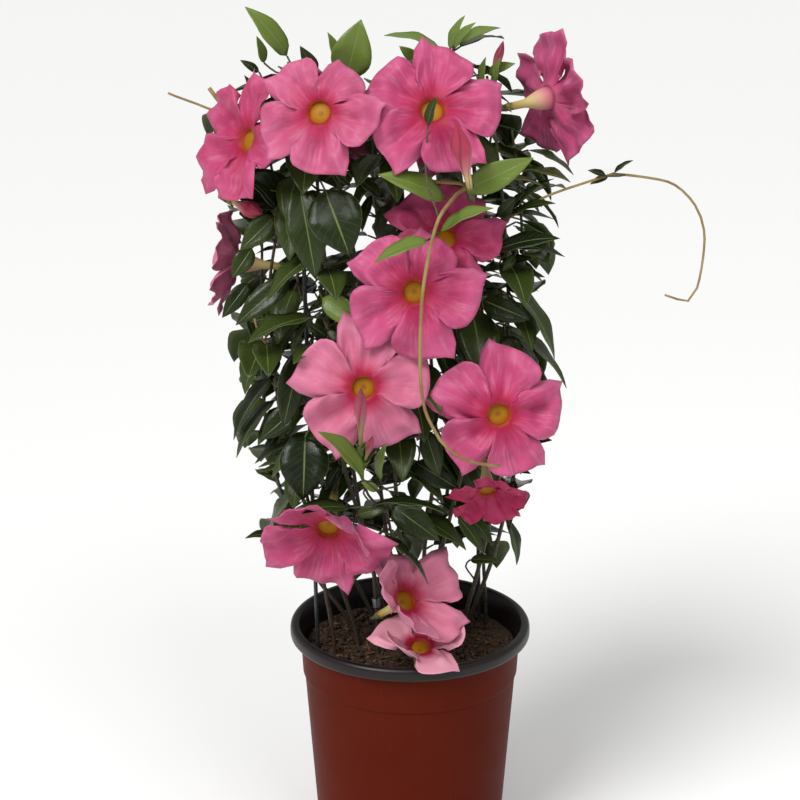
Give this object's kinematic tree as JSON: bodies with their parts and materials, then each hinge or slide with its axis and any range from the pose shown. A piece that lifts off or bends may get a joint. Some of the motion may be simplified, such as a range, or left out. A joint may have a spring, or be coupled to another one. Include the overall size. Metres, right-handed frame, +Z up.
{
  "type": "potted mandevilla",
  "caption": "Climbing plant with large pink five-petalled blooms and glossy leaves on a wire hoop in a round plastic pot; a house plant that stands on a floor or table.",
  "frame": {"origin": "centre of the pot's flat underside, on the surface that it stands on", "axes": "+Z up along the pot's axis; -Y towards the side that the picture shows, +X to its right"},
  "size_m": [0.5251, 0.3548, 0.8809],
  "materials": {
    "brown_plastic": "satin",
    "dark_peat": "rough",
    "coated_wire": "satin",
    "clip_steel": "satin",
    "green_leaf": "glossy leaf",
    "pink_petal": "velvety petal"
  },
  "bodies": {
    "root": {"pot": "brown_plastic", "soil": "dark_peat", "hoop": "coated_wire", "clip": "clip_steel", "vine_front_left": "green_leaf", "vine_front": "green_leaf", "vine_front_right": "green_leaf", "vine_right": "green_leaf", "vine_left": "green_leaf", "vine_inner_left": "green_leaf", "vine_inner_right": "green_leaf", "vine_back_left": "green_leaf", "vine_back": "green_leaf", "vine_back_right": "green_leaf", "vine_far_left": "green_leaf", "vine_far_right": "green_leaf", "sprig_left": "green_leaf", "sprig_front": "green_leaf", "twiner_left": "green_leaf", "twiner_right": "green_leaf", "bloom_top_left": "pink_petal", "bloom_top": "pink_petal", "bloom_top_middle": "pink_petal", "bloom_top_right": "pink_petal", "bloom_middle": "pink_petal", "bloom_behind_middle": "pink_petal", "bloom_left": "pink_petal", "bloom_right": "pink_petal", "bloom_young": "pink_petal", "bloom_low_left": "pink_petal", "bloom_low": "pink_petal", "bloom_side_left": "pink_petal", "bloom_back_top": "pink_petal", "bloom_back_high": "pink_petal", "bloom_back_middle": "pink_petal", "bloom_back_left": "pink_petal", "bloom_back_right": "pink_petal", "bloom_fallen": "pink_petal", "bud_top": "pink_petal", "bud_left": "pink_petal", "bud_low": "pink_petal", "bud_high": "pink_petal", "bud_right": "pink_petal", "bud_wilted": "pink_petal"}
  },
  "joints": []
}
